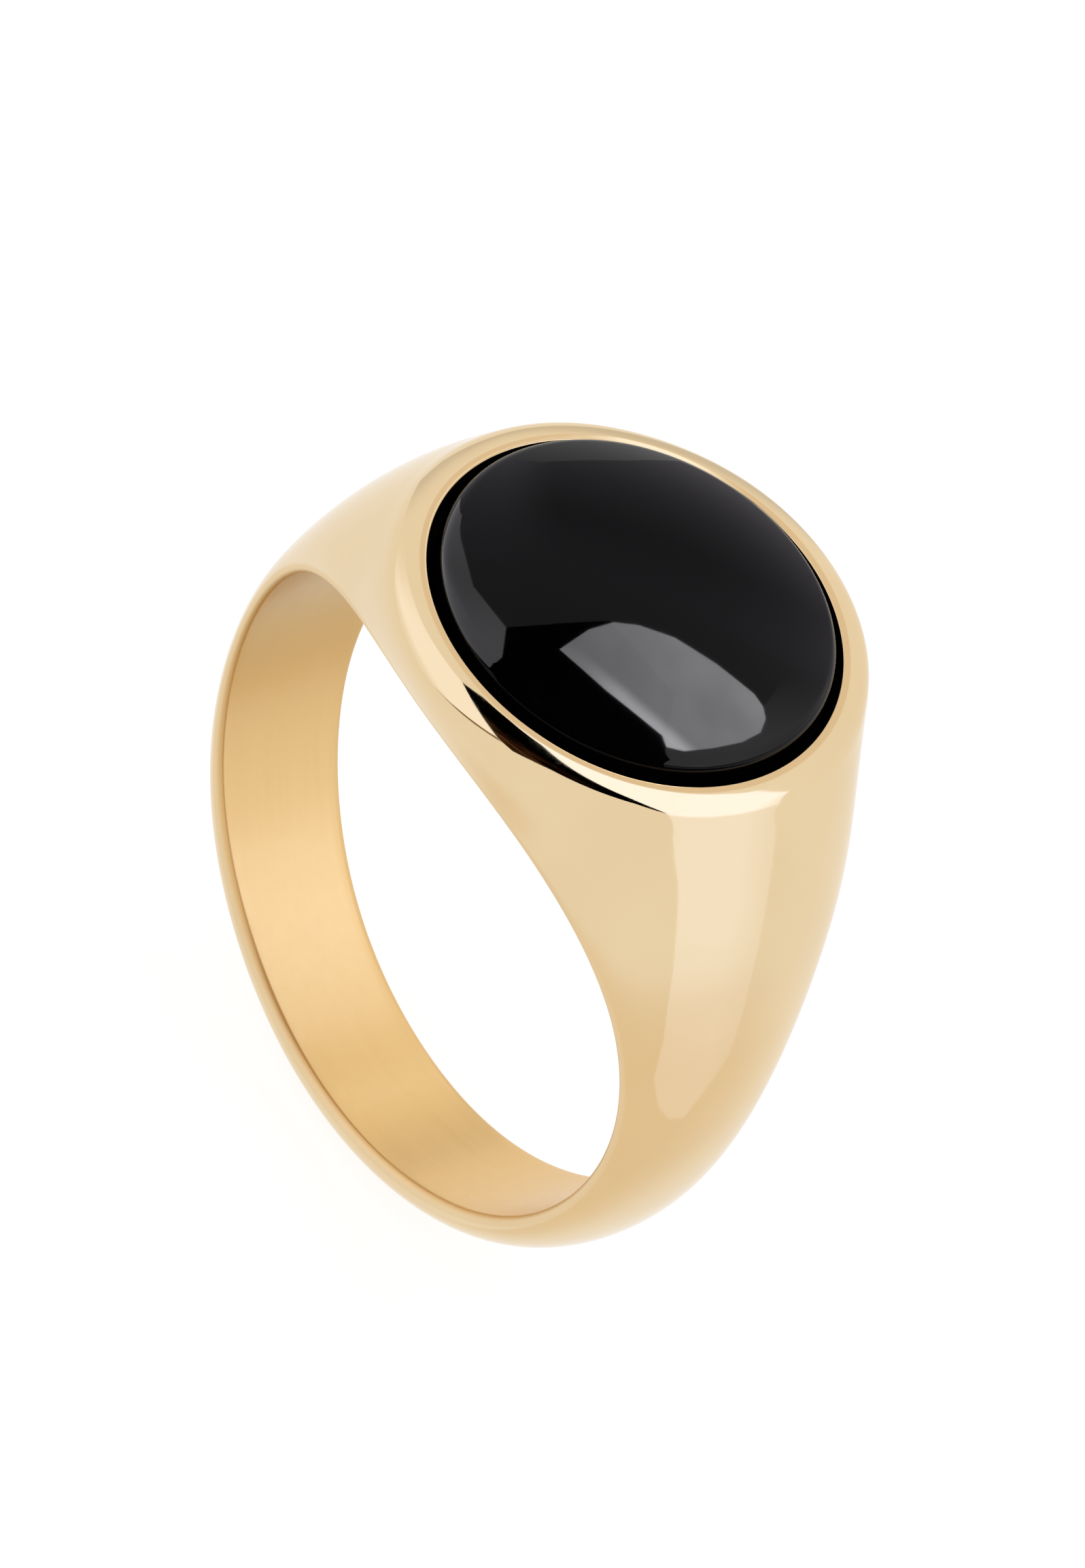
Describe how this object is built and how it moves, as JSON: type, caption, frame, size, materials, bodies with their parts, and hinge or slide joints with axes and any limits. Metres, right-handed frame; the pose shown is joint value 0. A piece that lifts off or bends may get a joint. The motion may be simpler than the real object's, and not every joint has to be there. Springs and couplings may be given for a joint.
{
  "type": "signet ring",
  "caption": "Signet ring with a round head, tapered shoulders and a low-domed round black stone set in a flush recess.",
  "frame": {"origin": "centre of the finger hole, midway between the ring's two sides", "axes": "+Y along the finger, +Z from the finger hole towards the middle of the head, +X across the ring"},
  "size_m": [0.0218, 0.0146, 0.0252],
  "materials": {
    "gold": "high polish outside, fine satin inside the finger hole",
    "stone": "polished opaque black stone",
    "cement": "cured clear-amber jeweller's cement"
  },
  "bodies": {
    "root": {"ring_body": "gold", "black_stone": "stone", "adhesive_bed": "cement"}
  },
  "joints": []
}
